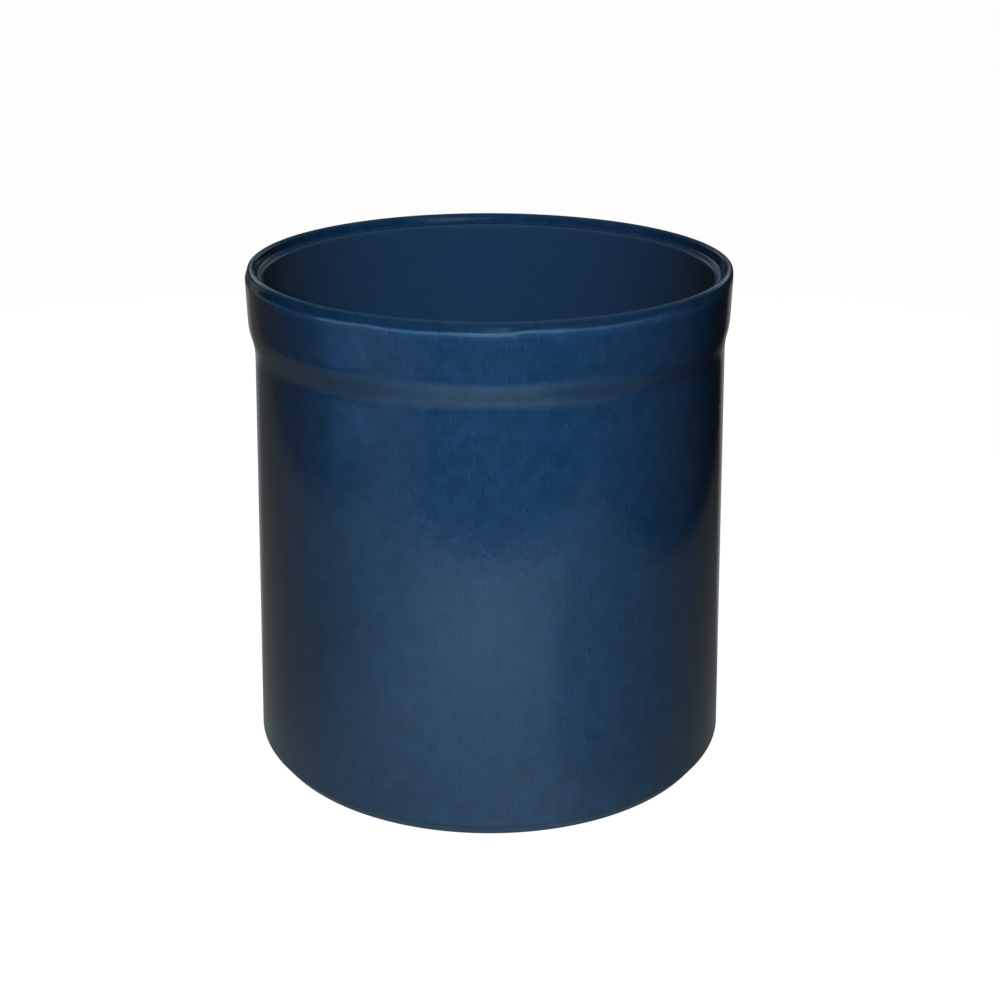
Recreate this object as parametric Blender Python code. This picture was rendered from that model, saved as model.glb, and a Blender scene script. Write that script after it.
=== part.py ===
"""Preserving crock, a turned stoneware pot with an outer and an inner coat of glaze.

Run it with blender --background --python part.py, or from Blender's text editor.
Lengths are in metres, +Z is up and the pot stands on the plane z = 0.
"""
import math

import bmesh
import bpy
from mathutils import Matrix, Vector

# Heights above the standing plane, measured on the glazed pot
POT_HEIGHT = 0.2160
COLLAR_HEIGHT = 0.0289
SHOULDER_HEIGHT = 0.0043
GALLERY_DEPTH = 0.0042
FOOT_BEVEL_HEIGHT = 0.0058
FLOOR_HEIGHT = 0.0082
GLAZE_LINE_HEIGHT = 0.0004

# Radius of the widest ring, and how far the outline moves in or out from there
BASE_RADIUS = 0.1042
FOOT_BEVEL_WIDTH = 0.0043
BODY_TAPER = 0.0049
COLLAR_STEP = 0.0020
COLLAR_FLARE = 0.0005
SHOULDER_WIDTH = 0.0009
CREST_WIDTH = 0.0029
GALLERY_DRAFT = 0.0006
LEDGE_WIDTH = 0.0034
BORE_FLARE = 0.0012

# Rounding of the corners
FOOT_CORNER_ROUND = 0.0020
SHOULDER_ROUND = 0.0090
CREST_OUTER_ROUND = 0.0013
CREST_INNER_ROUND = 0.0011
GALLERY_ROUND = 0.0010
LEDGE_ROUND = 0.0014
FLOOR_ROUND = 0.0090
STANDING_ROUND = 0.0007
COVE_ROUND_SHARE = 0.98

# The cove under the collar turns out by this angle and back again
COVE_TURN = math.radians(15.0)

# Bare underside: a standing ring round a shallow recess
STANDING_RING_WIDTH = 0.0130
RECESS_DEPTH = 0.0016
RECESS_SLOPE_WIDTH = 0.0024

# Coats of glaze, and the clearance that they keep to the clay and to each other
GLAZE_THICKNESS = 0.0006
GLAZE_CLEARANCE = 0.0003

# Facets round the axis, and along each rounded corner
TURN_STEPS = 64
SMALL_ROUND_STEPS = 2
ROUND_STEPS = 3
LARGE_ROUND_STEPS = 4
SMOOTH_ANGLE = math.radians(30.0)
MERGE_DISTANCE = 0.00001

# Radii of the glazed outline, each from the one before it
neck_radius = BASE_RADIUS - BODY_TAPER
collar_foot_radius = neck_radius + COLLAR_STEP
collar_radius = collar_foot_radius + COLLAR_FLARE
crest_outer_radius = collar_radius - SHOULDER_WIDTH
crest_inner_radius = crest_outer_radius - CREST_WIDTH
gallery_radius = crest_inner_radius - GALLERY_DRAFT
bore_radius = gallery_radius - LEDGE_WIDTH
bore_foot_radius = bore_radius + BORE_FLARE

# Heights that follow from the rim, and the rise of the slanted part of the cove
shoulder_z = POT_HEIGHT - SHOULDER_HEIGHT
ledge_z = POT_HEIGHT - GALLERY_DEPTH
cove_z = POT_HEIGHT - COLLAR_HEIGHT
cove_rise = COLLAR_STEP / math.tan(COVE_TURN)
cove_slant = COLLAR_STEP / math.sin(COVE_TURN)
cove_round = COVE_ROUND_SHARE * cove_slant / 2 / math.tan(COVE_TURN / 2)


def round_corner(before, corner, after, radius, steps):
    """Returns the points of the arc that rounds one corner of a path."""
    to_before = (before - corner).normalized()
    to_after = (after - corner).normalized()
    half = to_before.angle(to_after) / 2
    start = corner + to_before * (radius / math.tan(half))
    centre = corner + (to_before + to_after).normalized() * (radius / math.sin(half))
    turn = math.copysign(math.pi - 2 * half, to_after.cross(to_before))
    arm = start - centre
    return [centre + Matrix.Rotation(turn * i / steps, 2) @ arm for i in range(steps + 1)]


def rounded_path(corners):
    """Returns a path through (point, radius, steps) corners, rounded at all but its ends."""
    path = [corners[0][0]]
    for i in range(1, len(corners) - 1):
        corner, radius, steps = corners[i]
        path += round_corner(corners[i - 1][0], corner, corners[i + 1][0], radius, steps)
    path.append(corners[-1][0])
    return path


def inset_path(path, distance):
    """Returns the path moved by distance into the wall, which lies to the left of its run."""
    moved = []
    for i, point in enumerate(path):
        runs = []
        if i > 0:
            runs.append((point - path[i - 1]).normalized())
        if i < len(path) - 1:
            runs.append((path[i + 1] - point).normalized())
        sides = [Vector((-run.y, run.x)) for run in runs]
        mitre = sides[0] + sides[-1]
        moved.append(point + mitre * (2 * distance / mitre.length_squared))
    return moved


def make_material(name, colour, roughness, coat):
    """Returns a Principled material of one colour."""
    material = bpy.data.materials.new(name)
    material.use_nodes = True
    shader = material.node_tree.nodes["Principled BSDF"]
    shader.inputs["Base Color"].default_value = colour
    shader.inputs["Roughness"].default_value = roughness
    shader.inputs["Metallic"].default_value = 0.0
    shader.inputs["Coat Weight"].default_value = coat
    material.diffuse_color = colour
    return material


def turn_on_axis(name, profile, closed, material, parent):
    """Turns a profile that runs up its outer side once round the Z axis, facing out."""
    shape = bmesh.new()
    points = [shape.verts.new((point.x, 0.0, point.y)) for point in profile]
    edges = [shape.edges.new(pair) for pair in zip(points, points[1:])]
    if closed:
        edges.append(shape.edges.new((points[-1], points[0])))
    bmesh.ops.spin(shape, geom=points + edges, cent=(0.0, 0.0, 0.0), axis=(0.0, 0.0, 1.0),
                   angle=math.tau, steps=TURN_STEPS, use_merge=True)
    bmesh.ops.remove_doubles(shape, verts=shape.verts, dist=MERGE_DISTANCE)
    bmesh.ops.reverse_faces(shape, faces=shape.faces)
    mesh = bpy.data.meshes.new(name)
    shape.to_mesh(mesh)
    shape.free()
    mesh.shade_smooth()
    mesh.set_sharp_from_angle(angle=SMOOTH_ANGLE)
    mesh.materials.append(material)
    piece = bpy.data.objects.new(name, mesh)
    piece.parent = parent
    bpy.context.scene.collection.objects.link(piece)
    return piece


def outer_outline():
    """Returns the glazed outline from the glaze line up, over the rim and down to the ledge."""
    bevel_share = GLAZE_LINE_HEIGHT / FOOT_BEVEL_HEIGHT
    standing_radius = BASE_RADIUS - FOOT_BEVEL_WIDTH
    corners = [
        (Vector((standing_radius + FOOT_BEVEL_WIDTH * bevel_share, GLAZE_LINE_HEIGHT)), 0, 0),
        (Vector((BASE_RADIUS, FOOT_BEVEL_HEIGHT)), FOOT_CORNER_ROUND, SMALL_ROUND_STEPS),
        (Vector((neck_radius, cove_z - cove_rise / 2)), cove_round, ROUND_STEPS),
        (Vector((collar_foot_radius, cove_z + cove_rise / 2)), cove_round, ROUND_STEPS),
        (Vector((collar_radius, shoulder_z)), SHOULDER_ROUND, SMALL_ROUND_STEPS),
        (Vector((crest_outer_radius, POT_HEIGHT)), CREST_OUTER_ROUND, SMALL_ROUND_STEPS),
        (Vector((crest_inner_radius, POT_HEIGHT)), CREST_INNER_ROUND, SMALL_ROUND_STEPS),
        (Vector((gallery_radius, ledge_z)), GALLERY_ROUND, SMALL_ROUND_STEPS),
        (Vector((bore_radius, ledge_z)), 0, 0),
    ]
    return rounded_path(corners)[:-1]


def inner_outline(start):
    """Returns the glazed outline from the ledge down the bore to the middle of the floor."""
    corners = [
        (start, 0, 0),
        (Vector((bore_radius, ledge_z)), LEDGE_ROUND, ROUND_STEPS),
        (Vector((bore_foot_radius, FLOOR_HEIGHT)), FLOOR_ROUND, LARGE_ROUND_STEPS),
        (Vector((0.0, FLOOR_HEIGHT)), 0, 0),
    ]
    return rounded_path(corners)


def clay_profile(outline):
    """Returns the clay's section from under the foot, up the wall and back to the axis."""
    wall = inset_path(outline, GLAZE_THICKNESS + GLAZE_CLEARANCE)
    bevel = wall[1] - wall[0]
    standing_corner = wall[0] - bevel * (wall[0].y / bevel.y)
    ring_inner_radius = standing_corner.x - STANDING_RING_WIDTH
    recess_radius = ring_inner_radius - RECESS_SLOPE_WIDTH
    ring_inner = Vector((ring_inner_radius, 0.0))
    underside = [Vector((0.0, RECESS_DEPTH)), Vector((recess_radius, RECESS_DEPTH)), ring_inner]
    edge = round_corner(ring_inner, standing_corner, wall[1], STANDING_ROUND, ROUND_STEPS)
    return underside + edge + wall[1:]


def coat_profile(outline):
    """Returns the section of a coat of glaze: back along the clay's side, then the outline."""
    return inset_path(outline, GLAZE_THICKNESS)[::-1] + outline


def main():
    """Clears the scene and builds the clay and its two coats of glaze."""
    for old in list(bpy.data.objects):
        bpy.data.objects.remove(old, do_unlink=True)

    crock = bpy.data.objects.new("crock", None)
    bpy.context.scene.collection.objects.link(crock)

    outer = outer_outline()
    seam_run = (Vector((bore_radius, ledge_z)) - outer[-1]).normalized()
    inner = inner_outline(outer[-1] + seam_run * GLAZE_CLEARANCE)

    clay = make_material("fired_stoneware", (0.430, 0.345, 0.255, 1.0), 0.88, 0.0)
    blue = make_material("cobalt_glaze_outside", (0.009, 0.048, 0.127, 1.0), 0.15, 0.6)
    lining = make_material("cobalt_glaze_inside", (0.016, 0.055, 0.134, 1.0), 0.20, 0.6)

    turn_on_axis("clay_body", clay_profile(outer + inner), False, clay, crock)
    turn_on_axis("outer_glaze", coat_profile(outer), True, blue, crock)
    turn_on_axis("inner_glaze", coat_profile(inner), False, lining, crock)


if __name__ == "__main__":
    main()
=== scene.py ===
"""Preserving crock: a turned stoneware pot in a dark blue glaze, standing on a pale table.

The bare clay, the outer coat of glaze and the lining are surfaces of revolution. One outline
of the glazed pot is worked out with numpy, and all three are carried round the axis from it.
Lengths are in metres, +Z is up and the pot stands on the plane z = 0.
"""
import math

import bpy
import numpy as np
from bpy.props import FloatProperty, FloatVectorProperty, IntProperty, PointerProperty
from mathutils import Matrix, Vector


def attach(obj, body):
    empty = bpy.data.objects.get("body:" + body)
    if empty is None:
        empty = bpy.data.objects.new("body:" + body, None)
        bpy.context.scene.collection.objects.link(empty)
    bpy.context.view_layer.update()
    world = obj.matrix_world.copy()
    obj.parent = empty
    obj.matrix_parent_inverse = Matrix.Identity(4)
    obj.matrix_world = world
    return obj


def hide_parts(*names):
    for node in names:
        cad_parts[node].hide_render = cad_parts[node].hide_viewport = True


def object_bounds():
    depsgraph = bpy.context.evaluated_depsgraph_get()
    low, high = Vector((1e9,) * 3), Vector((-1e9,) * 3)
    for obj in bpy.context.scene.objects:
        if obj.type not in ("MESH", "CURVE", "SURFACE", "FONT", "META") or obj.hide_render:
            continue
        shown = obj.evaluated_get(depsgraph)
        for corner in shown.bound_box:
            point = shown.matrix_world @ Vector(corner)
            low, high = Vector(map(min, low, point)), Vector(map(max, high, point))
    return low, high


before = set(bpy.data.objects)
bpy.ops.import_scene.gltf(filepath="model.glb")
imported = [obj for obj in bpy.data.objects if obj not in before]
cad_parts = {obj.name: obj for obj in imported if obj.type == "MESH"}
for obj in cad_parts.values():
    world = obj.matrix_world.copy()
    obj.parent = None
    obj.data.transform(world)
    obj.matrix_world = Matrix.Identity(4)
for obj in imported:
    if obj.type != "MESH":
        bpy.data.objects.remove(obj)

bl_info = {
    "name": "Preserving Crock",
    "version": (1, 0, 0),
    "blender": (4, 5, 0),
    "location": "View3D > Sidebar > Crock",
    "description": "Builds a glazed stoneware preserving crock and the table that it stands on",
    "category": "Object",
}

CAD_LOW, CAD_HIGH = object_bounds()

# Rounding of the outline's corners
FOOT_CORNER_ROUND = 0.0020
COVE_ROUND_SHARE = 0.49
SHOULDER_ROUND = 0.0090
CREST_OUTER_ROUND = 0.0013
CREST_INNER_ROUND = 0.0011
GALLERY_ROUND = 0.0010
LEDGE_ROUND = 0.0014
FLOOR_ROUND = 0.0090
RECESS_ROUND = 0.0012
RING_INNER_ROUND = 0.0008
RING_OUTER_ROUND = 0.0007

# Longest run between two points of an outline, and how the meshes are finished
OUTER_SPACING = 0.0016
INNER_SPACING = 0.0022
UNDERSIDE_SPACING = 0.0030
SEAM_GAP = 0.00004
SMOOTH_ANGLE = math.radians(50.0)
BEND_REACH = 0.0012
AXIS_FADE = 0.02

# The floor: half its side, how far it lies under the foot, and its squares along a side
FLOOR_REACH = 8.0
FLOOR_DROP = 0.0002
FLOOR_SQUARES = 8


def length(name, default, description):
    """Returns a property for a length in metres."""
    return FloatProperty(name=name, default=default, description=description,
                         unit='LENGTH', precision=4)


def turn(name, default, description):
    """Returns a property for an angle, given in degrees."""
    return FloatProperty(name=name, default=math.radians(default), description=description,
                         subtype='ANGLE')


def share(name, default, description):
    """Returns a property for a plain number of zero or more."""
    return FloatProperty(name=name, default=default, description=description, min=0.0)


def colour(name, default, description):
    """Returns a property for a linear colour."""
    return FloatVectorProperty(name=name, default=default, description=description,
                               subtype='COLOR', size=3, min=0.0, max=1.0)


class CrockShape(bpy.types.PropertyGroup):
    """Sizes of the glazed pot, as the solids have them."""

    height: length("Height", CAD_HIGH.z, "From the table to the top of the rim")
    base_radius: length("Base radius", 0.1042, "Widest ring, just above the foot")
    bevel_height: length("Foot bevel height", 0.0058, "Rise of the bevel round the foot")
    bevel_width: length("Foot bevel width", 0.0043, "How far the bevel draws in to the foot")
    taper: length("Body taper", 0.0049, "How far the wall draws in from foot to cove")
    collar_height: length("Collar height", 0.0289, "From the middle of the cove to the rim")
    collar_step: length("Collar step", 0.0020, "How far the collar stands out from the wall")
    collar_flare: length("Collar flare", 0.0005, "How far the collar leans out upwards")
    shoulder_height: length("Shoulder height", 0.0043, "From the shoulder to the rim")
    shoulder_width: length("Shoulder width", 0.0009, "How far the shoulder draws in")
    crest_width: length("Crest width", 0.0029, "Land along the top of the rim")
    gallery_depth: length("Gallery depth", 0.0042, "From the rim down to the lid's ledge")
    gallery_draft: length("Gallery draft", 0.0006, "How far the gallery draws in downwards")
    ledge_width: length("Ledge width", 0.0034, "Width of the lid's ledge")
    bore_flare: length("Bore flare", 0.0012, "How far the inside widens towards the floor")
    floor_height: length("Floor height", 0.0082, "Top of the glazed floor")
    glaze_line: length("Glaze line", 0.0004, "Height of the outer coat's lower edge")
    glaze_thickness: length("Glaze thickness", 0.0006, "Thickness of both coats")
    clearance: length("Clearance", 0.0003, "Gap between a coat and the clay")
    standing_ring: length("Standing ring", 0.0130, "Width of the bare ring that it stands on")
    recess_depth: length("Recess depth", 0.0016, "Depth of the hollow under the foot")
    recess_slope: length("Recess slope", 0.0024, "Width of the slope round the hollow")
    cove_turn: turn("Cove turn", 15.0, "How far the cove under the collar leans out")


class CrockHand(bpy.types.PropertyGroup):
    """Unevenness that turning, dipping and firing leave in the pot."""

    oval: length("Out of round", 0.00012, "Depth of the broad waves round the pot")
    rings: length("Turning rings", 0.000012, "Depth of the faint rings round the wall")
    rim_wander: length("Rim wander", 0.00016, "How far the shoulder line rises and falls")
    cove_wander: length("Cove wander", 0.00028, "How far the pooled glaze line wanders")
    cove_rise: length("Cove rise", 0.0034, "How far the cove rises at its highest place")
    cove_rise_place: turn("Place of the rise", 10.0, "Where round the pot the cove rises")
    collar_shift: length("Collar shift", -0.00042, "How far the collar stands off the axis")
    rim_jogs: FloatVectorProperty(name="Rim jogs", size=4, subtype='NONE', precision=5,
                                  default=(-0.00055, 0.00042, 0.00060, 0.00018),
                                  description="Level of the shoulder before and after each jog")
    rim_jog_places: FloatVectorProperty(name="Places of the jogs", size=2, subtype='NONE',
                                        default=(math.radians(-84.6), math.radians(-113.5)),
                                        description="Where round the pot the shoulder line jogs")
    columns: IntProperty(name="Columns", default=384, min=32,
                         description="Facets round the axis")


class CrockGlaze(bpy.types.PropertyGroup):
    """Colours and surface of the glaze and of the bare clay."""

    cobalt: colour("Cobalt", (0.0090, 0.0475, 0.127), "The glaze where it lies evenly")
    # Painted sheen: grey added to the lining's colours, and more of it where the lining is seen
    # edge-on, standing in for light mirrored inside the pot.
    painted_sheen: share("Haze", 0.007, "Grey added to the lining, whose glaze is less clear")
    deep: colour("Deep", (0.0075, 0.0400, 0.115), "The glaze where it has pooled")
    thin: colour("Thin", (0.0115, 0.0510, 0.130), "The glaze where it is thin over an edge")
    clay: colour("Clay", (0.430, 0.345, 0.255), "The bare fired stoneware")
    roughness: share("Roughness", 0.13, "Blur of the glaze's reflections")
    pit_depth: share("Pit depth", 0.07, "Strength of the pinholes")
    peel_depth: share("Peel depth", 0.10, "Strength of the fine unevenness of the glaze")


class CrockSetting(bpy.types.PropertyGroup):
    """The table, the lights and the camera."""

    camera_distance: length("Camera distance", 0.6914, "From the pot's axis to the lens")
    camera_height: length("Camera height", 0.3732, "From the table to the lens")
    camera_pitch: turn("Camera pitch", 20.964, "How far the camera looks down")
    camera_yaw: turn("Camera yaw", 0.365, "How far the camera looks to the right")
    camera_roll: turn("Camera roll", -0.163, "How far the camera leans")
    camera_angle: turn("Field of view", 33.257, "Width of the camera's view")
    front_power: share("Front light", 2.8, "Power of the soft box beside the camera, in watts")
    top_power: share("Top light", 1.15, "Power of the soft box above the pot, in watts")
    side_power: share("Side light", 0.24, "Power of the soft box on the right, in watts")
    back_power: share("Back light", 1.8, "Power of the soft box behind the pot, in watts")
    band_power: share("Window", 1.0, "Brightness of the long low window in front")
    ceiling_glow: share("Ceiling", 0.10, "Brightness of the ceiling")
    room_glow: share("Room", 0.085, "Brightness of the rest of the room")


# Outline of the glazed pot


def round_corner(before, corner, after, radius):
    """Arc that rounds a corner: it touches both sides radius / tan(half the angle) away."""
    to_before = (before - corner) / np.linalg.norm(before - corner)
    to_after = (after - corner) / np.linalg.norm(after - corner)
    half = math.acos(float(np.clip(to_before @ to_after, -1.0, 1.0))) / 2
    middle = to_before + to_after
    centre = corner + middle / np.linalg.norm(middle) * radius / math.sin(half)
    arm = corner + to_before * radius / math.tan(half) - centre
    side = to_after[0] * to_before[1] - to_after[1] * to_before[0]
    sweep = math.copysign(math.pi - 2 * half, side)
    steps = max(4, math.ceil(abs(sweep) / math.radians(5.0)))
    angle = np.linspace(0.0, sweep, steps + 1)[:, None]
    return centre + np.cos(angle) * arm + np.sin(angle) * np.array([-arm[1], arm[0]])


def rounded_path(corners):
    """Straight runs joined by arcs, as one array of (radius, height) points."""
    points = [np.array(corner[:2]) for corner in corners]
    parts = [points[0][None]]
    for i in range(1, len(points) - 1):
        parts.append(round_corner(points[i - 1], points[i], points[i + 1], corners[i][2]))
    parts.append(points[-1][None])
    return np.concatenate(parts)


def evenly(path, spacing):
    """The same path with extra points, so that no straight run is longer than spacing."""
    run = np.linalg.norm(np.diff(path, axis=0), axis=1)
    along = np.concatenate([[0.0], np.cumsum(run)])
    extra = [np.linspace(start, end, max(1, math.ceil((end - start) / spacing)), endpoint=False)
             for start, end in zip(along[:-1], along[1:])]
    where = np.concatenate(extra + [along[-1:]])
    return np.stack([np.interp(where, along, path[:, i]) for i in (0, 1)], axis=1)


def path_normals(path):
    """Unit normals to the right of a path's run, each the mean of its two sides."""
    run = np.diff(path, axis=0)
    run /= np.linalg.norm(run, axis=1)[:, None]
    side = np.stack([run[:, 1], -run[:, 0]], axis=1)
    both = np.concatenate([side[:1], side]) + np.concatenate([side, side[-1:]])
    return both / np.linalg.norm(both, axis=1)[:, None]


def inset(path, distance):
    """The path moved into the wall, which lies to the left of its run."""
    run = np.diff(path, axis=0)
    run /= np.linalg.norm(run, axis=1)[:, None]
    side = np.stack([-run[:, 1], run[:, 0]], axis=1)
    mitre = np.concatenate([side[:1], side]) + np.concatenate([side, side[-1:]])
    return path + mitre * (2 * distance / (mitre ** 2).sum(axis=1))[:, None]


def radii(shape):
    """Radii of the glazed outline, each from the one before it."""
    neck = shape.base_radius - shape.taper
    collar_foot = neck + shape.collar_step
    collar = collar_foot + shape.collar_flare
    crest_outer = collar - shape.shoulder_width
    crest_inner = crest_outer - shape.crest_width
    gallery = crest_inner - shape.gallery_draft
    bore = gallery - shape.ledge_width
    return neck, collar_foot, collar, crest_outer, crest_inner, gallery, bore


def outer_path(shape):
    """Outline from the glaze line up the outside, over the rim and down to the ledge."""
    neck, collar_foot, collar, crest_outer, crest_inner, gallery, bore = radii(shape)
    cove = shape.height - shape.collar_height
    rise = shape.collar_step / math.tan(shape.cove_turn)
    slant = shape.collar_step / math.sin(shape.cove_turn)
    cove_round = COVE_ROUND_SHARE * slant / math.tan(shape.cove_turn / 2)
    ledge = shape.height - shape.gallery_depth
    start = shape.base_radius - shape.bevel_width * (1 - shape.glaze_line / shape.bevel_height)
    path = rounded_path([
        (start, shape.glaze_line),
        (shape.base_radius, shape.bevel_height, FOOT_CORNER_ROUND),
        (neck, cove - rise / 2, cove_round),
        (collar_foot, cove + rise / 2, cove_round),
        (collar, shape.height - shape.shoulder_height, SHOULDER_ROUND),
        (crest_outer, shape.height, CREST_OUTER_ROUND),
        (crest_inner, shape.height, CREST_INNER_ROUND),
        (gallery, ledge, GALLERY_ROUND),
        (bore, ledge),
    ])
    return evenly(path[:-1], OUTER_SPACING)


def inner_path(shape, start):
    """Outline from the ledge down the bore to the middle of the floor."""
    bore = radii(shape)[-1]
    ledge = shape.height - shape.gallery_depth
    path = rounded_path([
        tuple(start),
        (bore, ledge, LEDGE_ROUND),
        (bore + shape.bore_flare, shape.floor_height, FLOOR_ROUND),
        (0.0, shape.floor_height),
    ])
    return evenly(path, INNER_SPACING)


# Unevenness of the hand


def waves(angle, height, lobes, rises, phases, depths):
    """Sum of cosines of lobes x angle + rise x height + phase, each times its depth."""
    total = np.zeros(np.broadcast(angle, height).shape)
    for lobe, rise, phase, depth in zip(lobes, rises, phases, depths):
        total += depth * np.cos(lobe * angle + rise * height + phase)
    return total


def hand_relief(hand, angle, height):
    """How far the glaze lies under its outline: broad waves round the pot, fainter ones that
    climb it, and turning rings whose spacing drifts up the wall. It is never above it."""
    broad = waves(angle, height, (2, 3, 5, 7, 11), (3.0, -7.0, 14.0, -31.0, 46.0),
                  (0.6, 2.1, 4.0, 1.2, 5.1), (0.46, 0.26, 0.13, 0.09, 0.06))
    rings = waves(angle, height, (0, 1, -1, 2), (410.0, 655.0, 930.0, 1270.0),
                  (0.3, 1.9, 3.3, 0.8), (0.4, 0.3, 0.2, 0.1))
    return hand.oval * (broad - 1.0) / 2 + hand.rings * (rings - 1.0) / 2


def level_wander(angle, seed):
    """Rise and fall of a line round the pot: lobes up to 31, weaker as they get finer."""
    lobes = np.arange(2, 32)
    chance = np.random.default_rng(seed)
    phases = chance.uniform(0.0, math.tau, lobes.size)
    depths = chance.uniform(0.4, 1.0, lobes.size) / lobes ** 0.8
    wander = (depths * np.cos(lobes * angle[..., None] + phases)).sum(axis=-1)
    return wander / depths.sum() * 2.2


def soft_step(value, low, high):
    """0 up to low, 1 from high on, and a smooth cubic ramp between them."""
    part = np.clip((value - low) / (high - low), 0.0, 1.0)
    return part * part * (3.0 - 2.0 * part)


def collar_shift(hand, shape, height):
    """How far a point stands off the axis: all of the shift on the collar's upright face, and
    nothing below the cove or along the rim."""
    down = shape.height - height
    rise = soft_step(-down, -shape.collar_height - 0.010, -shape.collar_height + 0.006)
    return hand.collar_shift * rise * soft_step(down, 0.001, 0.005)


def angle_from(angle, place):
    """How far round the pot an angle lies from a place, between minus and plus half a turn."""
    return np.arctan2(np.sin(angle - place), np.cos(angle - place))


def jog(angle, place, before, after):
    """A step from one level to another at a place round the pot: their mean, and half their
    difference times tanh(45 x turned), under a bell that brings both ends back to zero."""
    turned = angle_from(angle, place)
    level = (before + after) / 2 + (after - before) / 2 * np.tanh(45.0 * turned)
    return level * np.exp(-(turned / 0.20) ** 2)


def near(height, middle, reach):
    """Bell that is 1 at a height and fades with the square of the distance from it."""
    return np.exp(-((height - middle) / reach) ** 2)


# Meshes


def turned_grid(path, columns):
    """Path points carried round the axis: angle grid, radius grid and height grid."""
    angle = np.linspace(0.0, math.tau, columns, endpoint=False)
    return np.broadcast_arrays(angle[None], path[:, :1], path[:, 1:])


def to_points(angle, radius, height):
    """x = radius x cos(angle), y = radius x sin(angle), z = height."""
    return np.stack([radius * np.cos(angle), radius * np.sin(angle), height], axis=-1)


def grid_faces(rows, columns, closed):
    """Quads between neighbouring rows and columns, wrapped round the axis, and from the last
    row to the first where closed. They face the side that lies right of the path's run."""
    below = np.arange(rows if closed else rows - 1)[:, None]
    above = (below + 1) % rows
    here = np.arange(columns)[None]
    after = (here + 1) % columns
    quads = [below * columns + here, below * columns + after,
             above * columns + after, above * columns + here]
    return np.stack(np.broadcast_arrays(*quads), axis=-1).reshape(-1, 4)


def pole_faces(row, pole, columns, first):
    """Fan of triangles from a row to one point on the axis."""
    here = np.arange(columns)
    after = (here + 1) % columns
    fan = [row + after, row + here] if first else [row + here, row + after]
    return np.stack(fan + [np.full(columns, pole)], axis=-1)


def capped_faces(rows, columns):
    """Quads between all rows, and a fan at each end to the two poles that follow the rows."""
    count = rows * columns
    return (grid_faces(rows, columns, False).tolist()
            + pole_faces(0, count, columns, True).tolist()
            + pole_faces(count - columns, count + 1, columns, False).tolist())


def new_piece(name, points, faces, marks, material):
    """Makes a smooth mesh object with point attributes, and rides it on the pot's body."""
    mesh = bpy.data.meshes.new(name)
    mesh.from_pydata(points, [], faces)
    for mark, values in marks.items():
        layer = mesh.attributes.new(mark, 'FLOAT', 'POINT')
        layer.data.foreach_set("value", values.astype(np.float32).ravel())
    mesh.shade_smooth()
    mesh.set_sharp_from_angle(angle=SMOOTH_ANGLE)
    mesh.materials.append(material)
    piece = bpy.data.objects.new(name, mesh)
    bpy.context.scene.collection.objects.link(piece)
    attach(piece, "root")
    return piece


def bare_object(name):
    """Removes an earlier object of this name, so that an operator can run again."""
    old = bpy.data.objects.get(name)
    if old is not None:
        bpy.data.objects.remove(old, do_unlink=True)


# Materials


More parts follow.
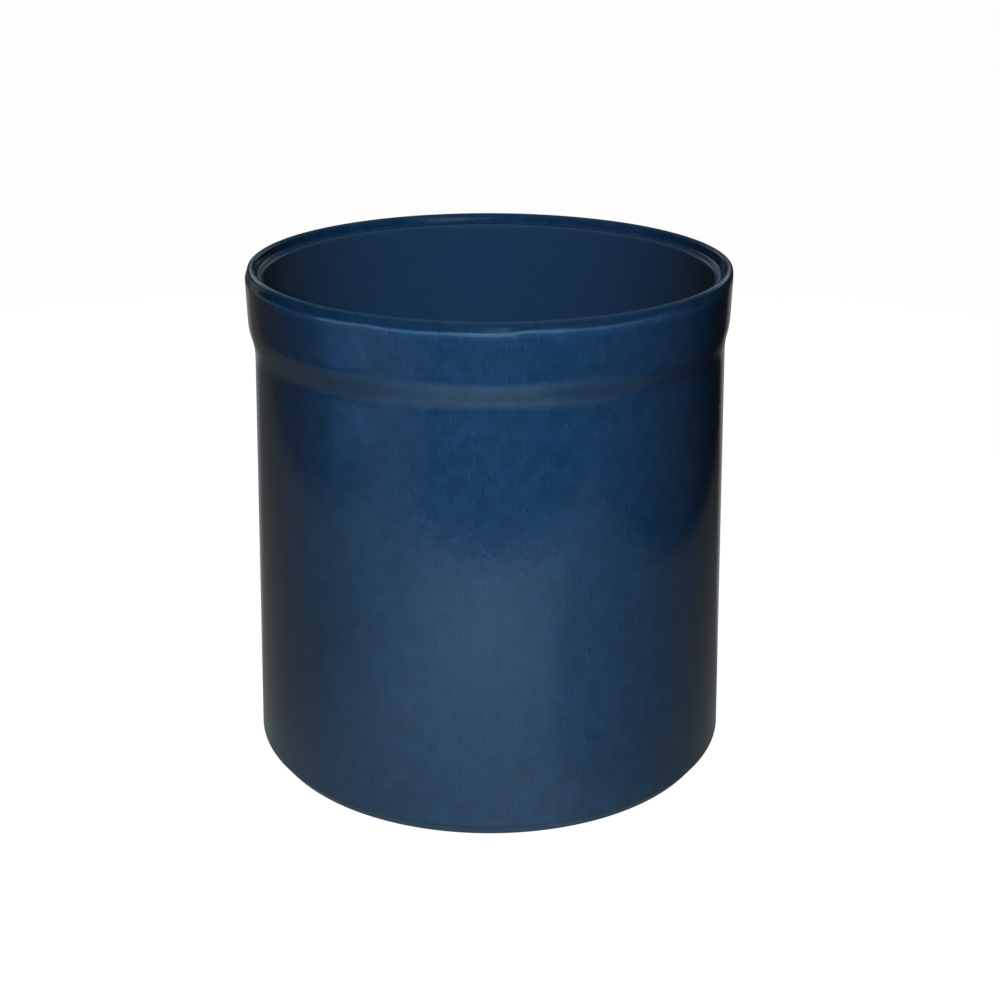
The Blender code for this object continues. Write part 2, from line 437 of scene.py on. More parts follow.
class Board:
    """A node tree and short ways to add nodes to it. Nodes are laid out in rows of eight."""

    def __init__(self, tree):
        tree.nodes.clear()
        self.tree = tree

    def add(self, kind, inputs=None, **settings):
        """Adds a node, sets its properties, and links or sets each input that is given."""
        made = self.tree.nodes.new("ShaderNode" + kind)
        count = len(self.tree.nodes) - 1
        made.location = (220 * (count % 8), -260 * (count // 8))
        for key, value in settings.items():
            setattr(made, key, value)
        for key, value in (inputs or {}).items():
            if isinstance(value, bpy.types.NodeSocket):
                self.tree.links.new(value, made.inputs[key])
            else:
                made.inputs[key].default_value = value
        return made

    def math(self, operation, *values, clamp=False):
        """Output of a Math node."""
        made = self.add('Math', dict(enumerate(values)), operation=operation, use_clamp=clamp)
        return made.outputs[0]

    def remap(self, value, low, high, new_low=0.0, new_high=1.0, kind='SMOOTHSTEP'):
        """Output of a Map Range node: low to high becomes new_low to new_high, clamped."""
        made = self.add('MapRange', {"Value": value, "From Min": low, "From Max": high,
                                     "To Min": new_low, "To Max": new_high},
                        interpolation_type=kind)
        return made.outputs["Result"]

    def mix(self, share_of_second, first, second):
        """Output of a colour Mix node."""
        made = self.add('Mix', {0: share_of_second, 6: first, 7: second}, data_type='RGBA')
        return made.outputs[2]

    def unrolled(self, vector):
        """The surface of the pot rolled out flat: angle x 0.1 m across and height up."""
        split = self.add('SeparateXYZ', {"Vector": vector}).outputs
        angle = self.math('ARCTAN2', split["X"], self.math('MULTIPLY', split["Y"], -1.0))
        across = self.math('MULTIPLY', angle, 0.1)
        return self.add('CombineXYZ', {"X": across, "Y": split["Z"]}).outputs[0]

    def dashes(self, vector, scale, shift, rarity, strength):
        """Upright dashes, one to a cell of a flat pattern, of which a share of rarity is bare."""
        flat = self.add('VectorMath', {0: self.unrolled(vector), 1: (1.0, 0.42, 1.0), 2: shift},
                        operation='MULTIPLY_ADD').outputs[0]
        cells = self.add('TexVoronoi', {"Vector": flat, "Scale": scale},
                         voronoi_dimensions='2D').outputs
        spot = self.remap(cells["Distance"], 0.08, 0.30, 1.0, 0.0)
        chance = self.add('SeparateColor', {"Color": cells["Color"]}).outputs
        kept = self.math('MULTIPLY', self.remap(chance["Red"], rarity, 1.0), strength)
        return self.math('MULTIPLY', spot, kept)

    def noise(self, vector, scale, detail=2.0, roughness=0.5):
        """Output of a Noise Texture, which stays near 0.5 and seldom leaves 0.3 to 0.7."""
        return self.add('TexNoise', {"Vector": vector, "Scale": scale, "Detail": detail,
                                     "Roughness": roughness}).outputs["Fac"]

    def window(self, across):
        """Brightness of the low window by its bearing. Returns its bright middle alone, and
        the middle with the fainter wings on both sides."""
        aside = self.math('ABSOLUTE', self.math('ADD', across, -0.05))
        middle = self.remap(aside, 0.7, 0.1, 0.0, 1.6)
        wing = self.math('MULTIPLY', self.remap(across, -1.46, -1.36), self.remap(across, 1.8, 0.7))
        return middle, self.math('MULTIPLY_ADD', wing, 0.8, middle)


def new_group(name, inputs, outputs):
    """Makes a shader node group with named sockets. Returns it as a board, the sockets that
    it is given, and its output node."""
    tree = bpy.data.node_groups.new(name, 'ShaderNodeTree')
    for socket_name, kind, value in inputs:
        socket = tree.interface.new_socket(socket_name, in_out='INPUT', socket_type=kind)
        socket.default_value = value
    for socket_name, kind in outputs:
        tree.interface.new_socket(socket_name, in_out='OUTPUT', socket_type=kind)
    board = Board(tree)
    given = tree.nodes.new('NodeGroupInput').outputs
    result = tree.nodes.new('NodeGroupOutput')
    result.location = (2000, 0)
    return board, given, result


def new_material(name):
    """Makes an empty node material, or empties the one of this name. Returns it and its board."""
    material = bpy.data.materials.get(name) or bpy.data.materials.new(name)
    material.use_nodes = True
    return material, Board(material.node_tree)


def rgba(colour_value):
    """A colour with full alpha, for a colour socket."""
    return (*colour_value, 1.0)


def glaze_colour_group():
    """Colour of a cobalt glaze: clouds of thicker and thinner glass, a fine mottle, soft patches,
    short dark and pale dashes, deeper glass where it pools and in the cove, and paler glass where
    it has thinned over an edge. Light and shade are painted in as well: a dark dash with a pale
    one just beside it, as on a small dent lit from one side; painted shade on the steep sides of
    the rim; and brighter blue along the shoulder, the ledge and the foot's bevel, a painted
    highlight and painted light."""
    name = "Cobalt glaze colour"
    if name in bpy.data.node_groups:
        return bpy.data.node_groups[name]
    board, given, result = new_group(name, [
        ("Vector", 'NodeSocketVector', (0.0, 0.0, 0.0)),
        ("Cobalt", 'NodeSocketColor', rgba((0.009, 0.047, 0.127))),
        ("Deep", 'NodeSocketColor', rgba((0.006, 0.034, 0.105))),
        ("Thin", 'NodeSocketColor', rgba((0.060, 0.105, 0.165))),
        ("Edge", 'NodeSocketFloat', 0.0),
        ("Pool", 'NodeSocketFloat', 0.0),
        ("Steep", 'NodeSocketFloat', 0.0),
        ("Line", 'NodeSocketFloat', 0.0),
        ("Cove", 'NodeSocketFloat', 0.0),
        ("Dashes", 'NodeSocketFloat', 1.0),
        ("Roughness", 'NodeSocketFloat', 0.13),
    ], [("Colour", 'NodeSocketColor'), ("Roughness", 'NodeSocketFloat')])
    clouds = board.remap(board.noise(given["Vector"], 22.0, 3.0), 0.35, 0.65, -0.10, 0.14)
    mottle = board.remap(board.noise(given["Vector"], 420.0, 3.0, 0.6), 0.3, 0.7, -0.10, 0.12)
    depth = board.math('ADD', board.math('ADD', clouds, mottle), given["Pool"], clamp=True)
    body = board.mix(depth, given["Cobalt"], given["Deep"])
    edged = board.mix(given["Edge"], body, given["Thin"])
    patches = board.remap(board.noise(given["Vector"], 150.0, 2.0), 0.32, 0.68, -0.10, 0.10)
    patches = board.math('MULTIPLY_ADD', patches, given["Dashes"], 1.0)
    # Painted shade: darker on the steep parts of the rim.
    steep_shaded = board.math('MULTIPLY', patches, board.math('MULTIPLY_ADD', given["Steep"], -0.36, 1.0))
    # Painted highlight along the shoulder, and painted light on the ledge and the foot's bevel.
    lined = board.math('MULTIPLY', steep_shaded, board.math('MULTIPLY_ADD', given["Line"], 0.45, 1.0))
    lined = board.math('MULTIPLY', lined, board.math('MULTIPLY_ADD', given["Cove"], -0.20, 1.0))
    # A dark dash with a pale one just beside it: painted shade and light, as on a small dent lit
    # from one side.
    pairs = board.math('ADD', board.dashes(given["Vector"], 430.0, (0.0, 0.0, 0.0), 0.60, -0.20),
                       board.dashes(given["Vector"], 430.0, (0.0008, 0.0002, 0.0), 0.60, 0.26))
    single = board.math('ADD', board.dashes(given["Vector"], 340.0, (0.4, 0.0, 0.0), 0.64, -0.17),
                        board.dashes(given["Vector"], 310.0, (0.0, 0.3, 0.0), 0.64, 0.20))
    marks = board.math('MULTIPLY_ADD', board.math('ADD', pairs, single), given["Dashes"], 1.0)
    lit = board.math('MULTIPLY', lined, marks)
    tone = board.add('VectorMath', {0: edged, "Scale": lit}, operation='SCALE').outputs[0]
    board.tree.links.new(tone, result.inputs["Colour"])
    blur = board.math('MULTIPLY_ADD', clouds, 0.10, given["Roughness"])
    blur = board.math('MULTIPLY_ADD', given["Cove"], 0.16, blur)
    board.tree.links.new(blur, result.inputs["Roughness"])
    return board.tree


def glaze_skin_group():
    """Height of the glaze's skin: a soft orange peel and scattered pinholes, which gas left
    as it broke through the glass, drawn out a little as the glaze ran."""
    name = "Glaze skin"
    if name in bpy.data.node_groups:
        return bpy.data.node_groups[name]
    board, given, result = new_group(name, [
        ("Vector", 'NodeSocketVector', (0.0, 0.0, 0.0)),
        ("Pit Depth", 'NodeSocketFloat', 0.35),
        ("Peel Depth", 'NodeSocketFloat', 0.10),
    ], [("Height", 'NodeSocketFloat')])
    pits = board.dashes(given["Vector"], 420.0, (0.2, 0.5, 0.0), 0.70, 1.0)
    peel = board.math('MULTIPLY', board.noise(given["Vector"], 300.0), given["Peel Depth"])
    height = board.math('SUBTRACT', peel, board.math('MULTIPLY', pits, given["Pit Depth"]))
    board.tree.links.new(height, result.inputs["Height"])
    return board.tree


def glaze_material(name, glaze, painted_sheen, dashes, blur):
    """A glossy dark blue stoneware glaze, with a painted grey sheen added to its colours and blur
    to its gloss. The colour under the glass is painted darker the more edge-on the surface is seen:
    a little of this is the glass's own darkening, most of it is painted shade towards the outline.
    It is weaker on the rim and the foot's bevel, and on the lining the colour turns towards the
    grey of the painted sheen."""
    material, board = new_material(name)
    place = board.add('TexCoord').outputs["Object"]
    edge, pool, lip, steep, line, cove = (
        board.add('Attribute', attribute_name=mark).outputs["Fac"]
        for mark in ("edge", "pool", "lip", "steep", "line", "cove"))
    tint = board.add('Group', node_tree=glaze_colour_group()).inputs
    skin = board.add('Group', node_tree=glaze_skin_group()).inputs
    cobalt, deep, thin = (rgba([c + painted_sheen for c in tone])
                          for tone in (glaze.cobalt, glaze.deep, glaze.thin))
    values = ((tint, {"Vector": place, "Cobalt": cobalt, "Deep": deep, "Thin": thin,
                      "Edge": edge, "Pool": pool, "Steep": steep, "Line": line, "Cove": cove,
                      "Dashes": dashes, "Roughness": glaze.roughness + blur}),
              (skin, {"Vector": place, "Pit Depth": glaze.pit_depth,
                      "Peel Depth": glaze.peel_depth}))
    for sockets, given in values:
        for key, value in given.items():
            if isinstance(value, bpy.types.NodeSocket):
                board.tree.links.new(value, sockets[key])
            else:
                sockets[key].default_value = value
    calm = board.remap(board.math('MULTIPLY_ADD', steep, 2.0, lip), 0.0, 1.0, 1.0, 0.25)
    bump = board.add('Bump', {"Strength": calm, "Distance": 0.0004,
                              "Height": skin[0].node.outputs["Height"]})
    # Painted shade: the colour under the glass darkens as the surface turns edge-on, less on the
    # rim and the foot's bevel.
    facing = board.add('LayerWeight', {"Blend": 0.5}).outputs["Facing"]
    shade_depth = board.math('MULTIPLY_ADD', lip, -0.8, 1.2)
    grazing_shade = board.math('MULTIPLY', board.math('POWER', facing, 1.35), shade_depth, clamp=True)
    shader = board.add('BsdfPrincipled', {
        "Base Color": board.mix(grazing_shade, tint[0].node.outputs["Colour"], rgba([3 * painted_sheen] * 3)),
        "Roughness": tint[0].node.outputs["Roughness"],
        "IOR": 1.5,
        "Normal": bump.outputs["Normal"],
    })
    board.add('OutputMaterial', {"Surface": shader.outputs["BSDF"]})
    return material


def clay_material(glaze):
    """Bare fired stoneware: a warm buff body with sandy grain and iron specks."""
    material, board = new_material("Bare fired stoneware")
    place = board.add('TexCoord').outputs["Object"]
    grain = board.noise(place, 1400.0, 3.0, 0.7)
    body = board.mix(board.noise(place, 35.0, 4.0, 0.6), rgba([c * 0.82 for c in glaze.clay]),
                     rgba([min(1.0, c * 1.15) for c in glaze.clay]))
    iron = board.add('TexVoronoi', {"Vector": place, "Scale": 420.0}).outputs["Distance"]
    specked = board.mix(board.remap(iron, 0.10, 0.20, 0.6, 0.0), body, (0.10, 0.060, 0.038, 1.0))
    bump = board.add('Bump', {"Strength": 0.6, "Distance": 0.0002, "Height": grain})
    shader = board.add('BsdfPrincipled', {
        "Base Color": specked,
        "Roughness": board.remap(grain, 0.0, 1.0, 0.75, 0.95),
        "Normal": bump.outputs["Normal"],
    })
    board.add('OutputMaterial', {"Surface": shader.outputs["BSDF"]})
    return material


# Pieces


def edge_marks(path, normals):
    """How sharply the outline turns at each point: out over an edge, or in at a hollow.
    The turn of the normal per length is blurred along the path and scaled to 0 to 1."""
    step = np.linalg.norm(np.diff(path, axis=0), axis=1)
    across = normals[:-1, 0] * normals[1:, 1] - normals[:-1, 1] * normals[1:, 0]
    bend = np.arcsin(np.clip(across, -1.0, 1.0))
    at = np.concatenate([[0.0], np.cumsum(step)])
    middle = (at[:-1] + at[1:]) / 2
    weight = near(at[:, None], middle[None], BEND_REACH)
    turn_here = (weight * bend[None]).sum(axis=1) / (BEND_REACH * math.sqrt(math.pi))
    edge = np.clip(turn_here / 500.0, 0.0, 1.0)
    pool = np.clip(-turn_here / 160.0, 0.0, 1.0)
    return edge, pool


def rim_marks(shape, path, normals):
    """Marks along the outline: lip, the slope above the shoulder, the crest, the ledge and the
    bevel of the foot; steep, what isn't level between shoulder and ledge, which is painted darker
    as shade; line, the shoulder, the ledge and the bevel, which are painted lighter, as a
    highlight along the shoulder and as light on the ledge and the bevel; and cove, the hollow
    where the glaze has gathered."""
    shoulder = shape.height - shape.shoulder_height
    ledge = shape.height - shape.gallery_depth
    outside = path[:, 0] > radii(shape)[4]
    level = soft_step(normals[:, 1], 0.5, 0.95)
    rim = np.where(outside, soft_step(path[:, 1], shoulder - 0.0002, shoulder + 0.0009),
                   soft_step(path[:, 1], ledge - 0.0016, ledge - 0.0002))
    bevel = soft_step(-path[:, 1], -shape.bevel_height - 0.0005, -shape.bevel_height + 0.0010)
    foot = np.where(outside, bevel, 0.0)
    lip = rim * np.where(outside, 1.0, level) + foot
    # Painted shade on the steep parts of the rim, weaker inside.
    steep = rim * (1.0 - level) * np.where(outside, 1.0, 0.4)
    # Painted highlight along the shoulder, painted light on the ledge and on the foot's bevel.
    line = np.where(outside, near(path[:, 1], shoulder - 0.0004, 0.0010),
                    0.25 * rim * level * (path[:, 1] < ledge + 0.0010)) + foot
    cove = np.where(outside, near(path[:, 1], shape.height - shape.collar_height, 0.0023), 0.0)
    return {"lip": lip, "steep": steep, "line": line, "cove": cove}


def glaze_shell(shape, hand, path, end_on_axis, name, material, wander):
    """A coat of glaze: the outline with its relief, and a plain back face one glaze thickness
    inside it, closed onto the outline at the coat's edges."""
    normals = path_normals(path)
    edge, pool = edge_marks(path, normals)
    front_marks = {"edge": edge, "pool": pool, **rim_marks(shape, path, normals)}
    angle, radius, height = turned_grid(path, hand.columns)
    sink = hand_relief(hand, angle, height)
    fade = np.clip(path[:, :1] / AXIS_FADE, 0.0, 1.0)
    lift = wander(angle, radius, height)
    radius = radius + normals[:, :1] * sink * fade
    height = height + normals[:, 1:] * sink * fade + lift
    front = to_points(angle, radius, height)
    front[..., 0] += collar_shift(hand, shape, front[..., 2])
    back_path = inset(path, shape.glaze_thickness)[::-4]
    if end_on_axis:
        back_path = np.concatenate([[[0.0, shape.floor_height - shape.glaze_thickness]],
                                    back_path[1:], inset(path, shape.glaze_thickness)[:1]])
    back = to_points(*turned_grid(back_path, hand.columns))
    back[..., 0] += collar_shift(hand, shape, back[..., 2])
    columns = hand.columns
    if not end_on_axis:
        points = np.concatenate([back, front])
        faces = grid_faces(len(points), columns, True)
        marks = {key: np.repeat(np.concatenate([np.zeros(len(back)), value]), columns)
                 for key, value in front_marks.items()}
        return new_piece(name, points.reshape(-1, 3), faces, marks, material)
    rows = np.concatenate([back[1:], front[:-1]])
    poles = np.array([back[0, 0], front[-1, 0]])
    poles[:, :2] = 0.0
    marks = {}
    for key, value in front_marks.items():
        along = np.concatenate([np.zeros(len(back) - 1), value[:-1]])
        marks[key] = np.append(np.repeat(along, columns), [0.0, 0.0])
    points = np.concatenate([rows.reshape(-1, 3), poles])
    return new_piece(name, points, capped_faces(len(rows), columns), marks, material)


def clay_path(shape, outline):
    """Section of the clay: the underside, the standing ring, and the outline moved in."""
    wall = inset(outline, shape.glaze_thickness + shape.clearance)
    bevel = wall[1] - wall[0]
    corner = wall[0] - bevel * wall[0, 1] / bevel[1]
    ring = np.array([corner[0] - shape.standing_ring, 0.0])
    underside = rounded_path([
        (0.0, shape.recess_depth),
        (ring[0] - shape.recess_slope, shape.recess_depth, RECESS_ROUND),
        (ring[0], 0.0, RING_INNER_ROUND),
        (corner[0], 0.0, RING_OUTER_ROUND),
        tuple(wall[1]),
    ])
    return np.concatenate([evenly(underside, UNDERSIDE_SPACING)[:-1], wall[1:]])


def lining_start(outer):
    """Where the lining begins on the ledge: a hair's breadth inside the end of the outer coat."""
    return outer[-1] - np.array([SEAM_GAP, 0.0])


def pot_groups(context):
    """The scene's sizes, unevenness and glaze."""
    scene = context.scene
    return scene.crock_shape, scene.crock_hand, scene.crock_glaze


class CROCK_OT_outer_glaze(bpy.types.Operator):
    """Adds the blue coat on the outside, over the rim and down to the lid's ledge"""
    bl_idname = "crock.outer_glaze"
    bl_label = "Outer glaze"
    bl_options = {'REGISTER', 'UNDO'}

    def execute(self, context):
        bare_object("outer_coat")
        shape, hand, glaze = pot_groups(context)
        cove = shape.height - shape.collar_height
        shoulder = shape.height - shape.shoulder_height

        def wander(angle, radius, height):
            """Lift of each point: the shoulder line's wander and jogs on the outer side of the
            crest, the cove line's wander, and the cove's rise at one place."""
            line = hand.rim_wander * level_wander(angle, 11)
            levels = np.array(hand.rim_jogs).reshape(2, 2)
            for place, (before, after) in zip(hand.rim_jog_places, levels):
                line += jog(angle, place, before, after)
            below_top = soft_step(shape.height - height, 0.0004, 0.0030)
            line = line * near(height, shoulder, 0.0035) * below_top
            line = np.where(radius > radii(shape)[4] + 0.0010, line, 0.0)
            line += hand.cove_wander * level_wander(angle, 23) * near(height, cove - 0.003, 0.0045)
            turned = angle_from(angle, hand.cove_rise_place)
            return line + hand.cove_rise * near(turned, 0.0, 0.45) * near(height, cove, 0.0085)

        material = glaze_material("Blue glaze outside", glaze, 0.0, 1.0, 0.0)
        piece = glaze_shell(shape, hand, outer_path(shape), False, "outer_coat", material,
                            wander)
        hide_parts("outer_glaze")
        return {'FINISHED'}


class CROCK_OT_inner_glaze(bpy.types.Operator):
    """Adds the blue lining from the lid's ledge down to the floor"""
    bl_idname = "crock.inner_glaze"
    bl_label = "Inner glaze"
    bl_options = {'REGISTER', 'UNDO'}

    def execute(self, context):
        bare_object("lining")
        shape, hand, glaze = pot_groups(context)
        start = lining_start(outer_path(shape))
        # The lining gets the painted sheen of grey.
        material = glaze_material("Blue glaze inside", glaze, glaze.painted_sheen, 0.3, 0.09)
        piece = glaze_shell(shape, hand, inner_path(shape, start), True, "lining", material,
                            lambda angle, radius, height: 0.0)
        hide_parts("inner_glaze")
        return {'FINISHED'}


class CROCK_OT_clay(bpy.types.Operator):
    """Adds the clay, which shows as the bare standing ring and the hollow under the foot"""
    bl_idname = "crock.clay"
    bl_label = "Clay"
    bl_options = {'REGISTER', 'UNDO'}

    def execute(self, context):
        bare_object("clay_pot")
        shape, hand, glaze = pot_groups(context)
        outer = outer_path(shape)
        inner = inner_path(shape, lining_start(outer))
        outline = np.concatenate([outer[::3], inner[::3][1:], [[0.0, shape.floor_height]]])
        path = clay_path(shape, outline)
        columns = hand.columns // 2
        rows = to_points(*turned_grid(path[1:-1], columns))
        rows[..., 0] += collar_shift(hand, shape, rows[..., 2])
        poles = np.array([[0.0, 0.0, path[0, 1]], [0.0, 0.0, path[-1, 1]]])
        points = np.concatenate([rows.reshape(-1, 3), poles])
        piece = new_piece("clay_pot", points, capped_faces(len(rows), columns), {},
                          clay_material(glaze))
        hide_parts("clay_body")
        return {'FINISHED'}


# Stage


def floor_material():
    """A pale floor. The camera sees it plain and the glaze doesn't. What the glaze mirrors is
    painted light, an emission that only glossy rays see, given one by one: a table top with
    painted pools of light and a painted shadow over its right part near the pot and round the
    foot, dark floor beyond its edges with a warm patch of light on the right, a blue one on the
    left and pale corners behind, and the low window far off in front."""
    material, board = new_material("Pale floor")
    place = board.add('TexCoord').outputs["Object"]
    split = board.add('SeparateXYZ', {"Vector": place}).outputs
    x, y = split["X"], split["Y"]
    right = board.remap(board.math('MULTIPLY_ADD', y, 0.10, x), 0.35, 0.39, 1.0, 0.0)
    left = board.remap(board.math('MULTIPLY_ADD', y, 0.14, x), -0.52, -0.47)
    front = board.remap(y, -0.475, -0.415)
    inside = board.math('MULTIPLY', board.math('MULTIPLY', right, left), front)

    def spot(where_x, where_y, reach, depth):
        """A round pool of light on the table, soft out to its reach."""
        away = board.add('VectorMath', {0: place, 1: (where_x, where_y, 0.0)}, operation='DISTANCE')
        return board.remap(away.outputs["Value"], reach, 0.0, 0.0, depth)

    # Painted shadow over the table's right part near the pot.
    shade = board.remap(board.math('MULTIPLY_ADD', y, 0.5, x), -0.028, 0.012)
    shade = board.math('MULTIPLY', shade, board.remap(y, -0.33, -0.28))
    # Painted pools of light on the table.
    lit = board.math('MULTIPLY', spot(-0.01, -0.325, 0.36, 0.55),
                     board.math('MULTIPLY_ADD', shade, -0.65, 1.0))
    lit = board.math('ADD', lit, spot(-0.36, -0.28, 0.20, 0.10))
    lit = board.math('ADD', lit, spot(0.02, -0.11, 0.09, 0.16))
    on_left = board.remap(y, -0.20, 0.35, 0.215, 0.11)
    on_right = board.remap(y, -0.30, 0.30, 0.21, 0.04, 'LINEAR')
    side = board.remap(x, -0.10, 0.20)
    base = board.math('MULTIPLY_ADD', side, board.math('SUBTRACT', on_right, on_left), on_left)
    from_pot = board.add('VectorMath', {0: place}, operation='LENGTH').outputs["Value"]
    # Painted shadow round the foot, where the pot stands.
    contact_shade = board.remap(from_pot, 0.1035, 0.110, 0.36, 1.0)
    bright = board.math('MULTIPLY', board.math('ADD', base, lit), contact_shade)
    # Painted light on the dark floor beyond the table: a patch front left and a warm patch on the
    # right, over a level that falls towards the right.
    patch = board.math('MULTIPLY', board.remap(x, -0.25, -0.42),
                       board.remap(y, -0.28, -0.38, 0.0, 0.14))
    reach_off = board.remap(from_pot, 0.70, 0.95, 1.0, 0.35)
    warm = board.math('MULTIPLY', board.remap(x, 0.40, 0.46), board.remap(from_pot, 1.0, 0.85))
    warm = board.math('MULTIPLY', warm, board.remap(y, 0.30, 0.0))
    far = board.math('MULTIPLY_ADD', warm, 0.018, board.remap(x, 0.15, 0.30, 0.065, 0.012))
    far = board.math('MULTIPLY_ADD', patch, reach_off, far)
    level = board.math('MULTIPLY_ADD', inside, board.math('SUBTRACT', bright, far), far)
    # Painted light of the low window, on the floor far off in front.
    across = board.math('ARCTAN2', x, board.math('MULTIPLY', y, -1.0))
    window = board.math('MULTIPLY', board.window(across)[1], board.remap(from_pot, 0.95, 1.5))
    short = board.math('MULTIPLY', board.remap(across, 0.45, 0.85), board.remap(from_pot, 2.2, 3.2))
    window = board.math('MULTIPLY', window, board.math('SUBTRACT', 1.0, short))
    # Painted light: a pale fringe on both sides behind the pot, and pale corners far behind on the
    # left.
    bearing = board.math('ARCTAN2', board.math('SUBTRACT', board.math('ABSOLUTE', x), 0.1), y)
    fringe = board.math('MULTIPLY', board.remap(bearing, 0.56, 0.34), board.remap(y, 0.02, 0.10))
    fringe = board.math('MULTIPLY', fringe, board.remap(x, -0.05, 0.05, 0.17, 0.25))
    fringe = board.math('MULTIPLY', fringe, board.remap(from_pot, 1.1, 0.85))
    behind = board.math('ARCTAN2', x, y)
    corner = board.math('MULTIPLY', board.remap(behind, -0.58, -0.72),
                        board.remap(behind, -1.5, -1.2))
    corner = board.math('MULTIPLY', corner, board.remap(from_pot, 1.0, 1.3, 0.0, 0.11))
    level = board.math('ADD', level, board.math('ADD', board.math('ADD', window, corner), fringe))
    # The painted light is bluer in front of the pot and warm over the warm patch.
    hue = board.mix(board.remap(y, -0.12, 0.06), (1.0, 1.38, 1.50, 1.0), (1.10, 1.13, 1.16, 1.0))
    hue = board.mix(board.math('MULTIPLY', warm, 0.8), hue, (1.90, 1.30, 0.80, 1.0))
    mirrored = board.mix(level, (0.0, 0.0, 0.0, 1.0), hue)
    # Painted blue light on the floor front left, beyond the table's edge.
    blue = board.math('MULTIPLY', board.remap(x, -0.50, -0.56), board.remap(y, -0.15, -0.20))
    blue = board.math('MULTIPLY', blue, board.remap(y, -0.55, -0.42))
    blue = board.mix(blue, (0.0, 0.0, 0.0, 1.0), (0.09, 0.25, 0.58, 1.0))
    mirrored = board.add('Mix', {0: 1.0, 6: mirrored, 7: blue}, data_type='RGBA',
                         blend_type='ADD').outputs[2]
    seen = board.add('LightPath').outputs
    # The painted light is an emission that only glossy rays see; diffuse rays get a plain grey
    # bounce and the camera an evenly pale floor.
    table = board.add('Emission', {"Color": mirrored}).outputs[0]
    matt = board.add('BsdfDiffuse', {"Color": (0.12, 0.12, 0.12, 1.0)}).outputs[0]
    glow = board.add('Emission', {"Strength": 0.98}).outputs[0]
    pale = board.add('AddShader', {0: matt, 1: glow}).outputs[0]
    bounce = board.add('BsdfDiffuse', {"Color": (0.50, 0.55, 0.55, 1.0)}).outputs[0]
    other = board.add('MixShader', {0: seen["Is Glossy Ray"], 1: bounce, 2: table}).outputs[0]
    whole = board.add('MixShader', {0: seen["Is Camera Ray"], 1: other, 2: pale}).outputs[0]
    board.add('OutputMaterial', {"Surface": whole})
    material.cycles.emission_sampling = 'NONE'
    return material


def room_light(setting):
    """The camera sees a plain white room and the glaze doesn't. What the glaze mirrors is given
    here: a dim room, paler on both sides behind the pot, with a long low window in front that is
    bluer in its middle."""
    world = bpy.context.scene.world or bpy.data.worlds.new("Room")
    bpy.context.scene.world = world
    world.use_nodes = True
    board = Board(world.node_tree)
    toward = board.add('TexCoord').outputs["Generated"]
    split = board.add('SeparateXYZ', {"Vector": toward}).outputs
    high = board.remap(split["Z"], 0.072, 0.025)
    across = board.math('ARCTAN2', split["X"], board.math('MULTIPLY', split["Y"], -1.0))
    middle, window = board.window(across)
    window = board.math('MULTIPLY', high, window)
    window = board.math('MULTIPLY', window, board.remap(across, 0.85, 0.45))
    ceiling = board.remap(split["Z"], 0.5, 0.95, 0.0, setting.ceiling_glow)
    behind = board.math('ARCTAN2', split["X"], split["Y"])
    left = board.remap(behind, math.radians(-7.2), math.radians(-8.4), 0.0, 0.60)
    right = board.remap(behind, math.radians(7.2), math.radians(8.4), 0.0, 0.50)
    wings = board.math('ADD', left, right)
    wings = board.math('MULTIPLY', wings, board.remap(split["Z"], 0.42, 0.30))
    wings = board.math('MULTIPLY', wings, board.remap(split["Z"], 0.212, 0.222))
    wings = board.math('MULTIPLY', wings, board.remap(split["Y"], 0.5, 0.8))
    wall = board.remap(split["Z"], 0.195, 0.265, 0.012, setting.room_glow)
    whole = board.math('ADD', ceiling, board.math('ADD', wall, wings))
    strength = board.math('MULTIPLY_ADD', window, setting.band_power, whole)
    hue = board.mix(board.remap(wings, 0.0, 0.2), (0.78, 1.14, 1.27, 1.0), (0.96, 1.0, 1.0, 1.0))
    pane = board.remap(board.math('MULTIPLY', middle, high), 0.5, 1.5)
    hue = board.mix(pane, hue, (0.84, 1.55, 1.90, 1.0))
    room = board.add('Background', {"Color": hue, "Strength": strength}).outputs[0]
    dark = board.add('Background', {"Strength": 0.0}).outputs[0]
    white = board.add('Background', {"Color": (1.0, 1.0, 1.0, 1.0), "Strength": 1.0}).outputs[0]
    seen = board.add('LightPath').outputs
    other = board.add('MixShader', {0: seen["Is Glossy Ray"], 1: dark, 2: room}).outputs[0]
    whole = board.add('MixShader', {0: seen["Is Camera Ray"], 1: other, 2: white}).outputs[0]
    board.add('OutputWorld', {"Surface": whole})
    world.cycles.sampling_method = 'NONE'


def soft_box(name, where, aim, side, power):
    """Adds a soft square light at a place, turned to face a point. It isn't mirrored."""
    bare_object(name)
    light = bpy.data.lights.new(name, 'AREA')
    light.shape = 'SQUARE'
    light.size = side
    light.energy = power
    lamp = bpy.data.objects.new(name, light)
    bpy.context.scene.collection.objects.link(lamp)
    lamp.location = where
    lamp.rotation_euler = (Vector(aim) - Vector(where)).to_track_quat('-Z', 'Y').to_euler()
    lamp.visible_camera = False
    lamp.visible_glossy = False
    light.cycles.use_multiple_importance_sampling = False


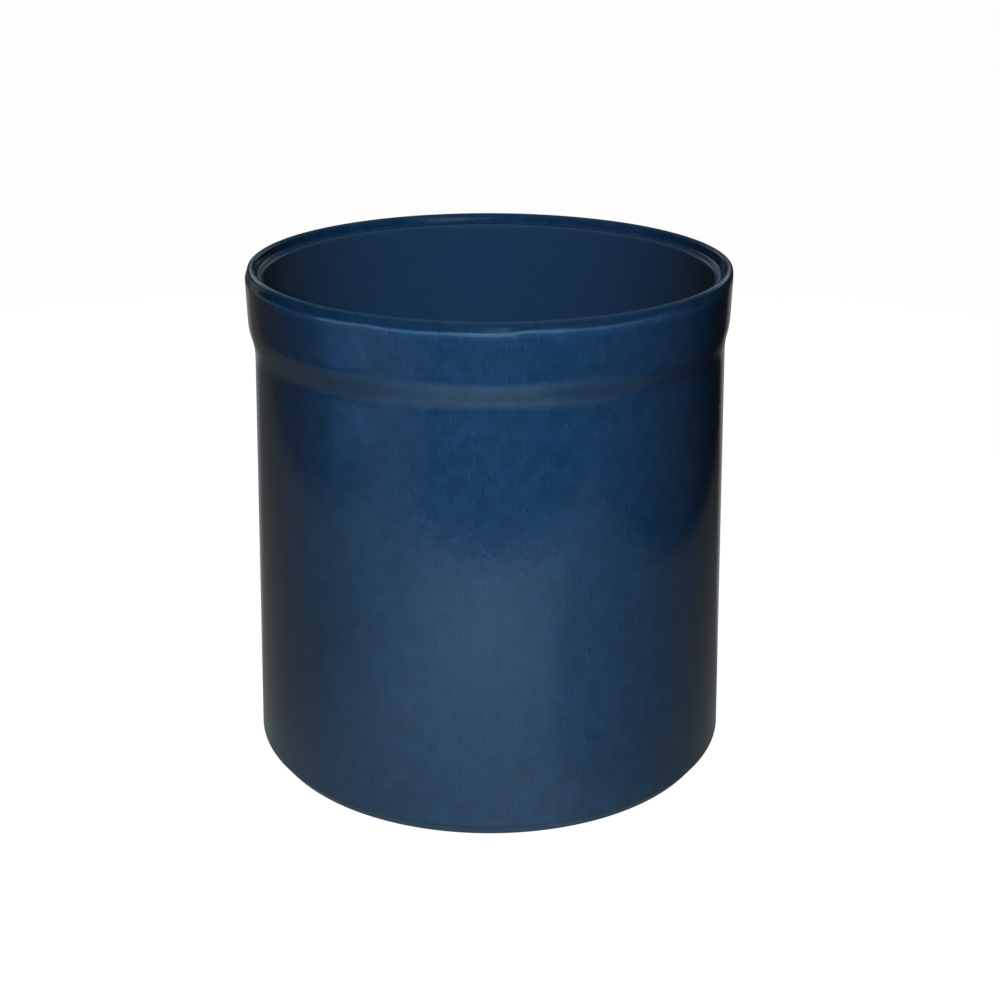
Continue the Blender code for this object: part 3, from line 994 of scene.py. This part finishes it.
class CROCK_OT_stage(bpy.types.Operator):
    """Adds the pale floor, the soft lights, the dim room and the camera"""
    bl_idname = "crock.stage"
    bl_label = "Table, lights and camera"
    bl_options = {'REGISTER', 'UNDO'}

    def execute(self, context):
        setting = context.scene.crock_setting
        bare_object("floor")
        row = FLOOR_SQUARES + 1
        side = np.linspace(-FLOOR_REACH, FLOOR_REACH, row)
        across, along = np.meshgrid(side, side)
        points = np.stack([across, along, np.full_like(across, -FLOOR_DROP)], axis=-1)
        square = np.arange(FLOOR_SQUARES)
        first = (square[:, None] * row + square[None]).ravel()
        faces = np.stack([first, first + 1, first + row + 1, first + row], axis=-1)
        mesh = bpy.data.meshes.new("floor")
        mesh.from_pydata(points.reshape(-1, 3), [], faces)
        mesh.materials.append(floor_material())
        floor = bpy.data.objects.new("floor", mesh)
        context.scene.collection.objects.link(floor)

        room_light(setting)
        soft_box("front_box", (-0.05, -0.68, 0.39), (0.0, 0.0, 0.12), 0.03, setting.front_power)
        soft_box("top_box", (0.10, -0.32, 0.70), (0.0, 0.0, 0.15), 0.16, setting.top_power)
        soft_box("side_box", (0.45, -0.15, 0.75), (0.0, 0.0, 0.15), 0.20, setting.side_power)
        soft_box("back_box", (-0.12, 0.75, 0.35), (0.0, 0.0, 0.12), 0.20, setting.back_power)

        bare_object("camera")
        view = bpy.data.cameras.new("camera")
        view.sensor_fit = 'HORIZONTAL'
        view.sensor_width = 36.0
        view.angle = setting.camera_angle
        camera = bpy.data.objects.new("camera", view)
        context.scene.collection.objects.link(camera)
        facing = (Matrix.Rotation(-setting.camera_yaw, 4, 'Z')
                  @ Matrix.Rotation(math.pi / 2 - setting.camera_pitch, 4, 'X')
                  @ Matrix.Rotation(-setting.camera_roll, 4, 'Z'))
        place = Matrix.Translation((0.0, -setting.camera_distance, setting.camera_height))
        camera.matrix_world = place @ facing
        context.scene.camera = camera
        context.scene.view_settings.view_transform = 'Standard'
        context.scene.view_settings.look = 'None'
        return {'FINISHED'}


class CROCK_PT_panel(bpy.types.Panel):
    """Lists the crock's sizes, colours and pieces"""
    bl_idname = "CROCK_PT_panel"
    bl_label = "Crock"
    bl_space_type = 'VIEW_3D'
    bl_region_type = 'UI'
    bl_category = "Crock"

    def draw(self, context):
        for key in GROUPS:
            group = getattr(context.scene, key)
            box = self.layout.box()
            box.label(text=key.removeprefix("crock_").capitalize())
            for name in type(group).__annotations__:
                box.prop(group, name)
        for operator in OPERATORS:
            self.layout.operator(operator.bl_idname)


GROUPS = {
    "crock_shape": CrockShape,
    "crock_hand": CrockHand,
    "crock_glaze": CrockGlaze,
    "crock_setting": CrockSetting,
}
OPERATORS = (CROCK_OT_clay, CROCK_OT_inner_glaze, CROCK_OT_outer_glaze, CROCK_OT_stage)


def register():
    """Registers the classes and hangs the property groups on the scene."""
    for name, group in GROUPS.items():
        bpy.utils.register_class(group)
        setattr(bpy.types.Scene, name, PointerProperty(type=group))
    for operator in OPERATORS:
        bpy.utils.register_class(operator)
    bpy.utils.register_class(CROCK_PT_panel)


def unregister():
    """Takes the classes and the property groups off again."""
    bpy.utils.unregister_class(CROCK_PT_panel)
    for operator in reversed(OPERATORS):
        bpy.utils.unregister_class(operator)
    for name, group in reversed(GROUPS.items()):
        delattr(bpy.types.Scene, name)
        bpy.utils.unregister_class(group)


def main():
    """Builds the pot and its setting."""
    register()
    bpy.ops.crock.clay()
    bpy.ops.crock.inner_glaze()
    bpy.ops.crock.outer_glaze()
    bpy.ops.crock.stage()


if __name__ == "__main__":
    main()
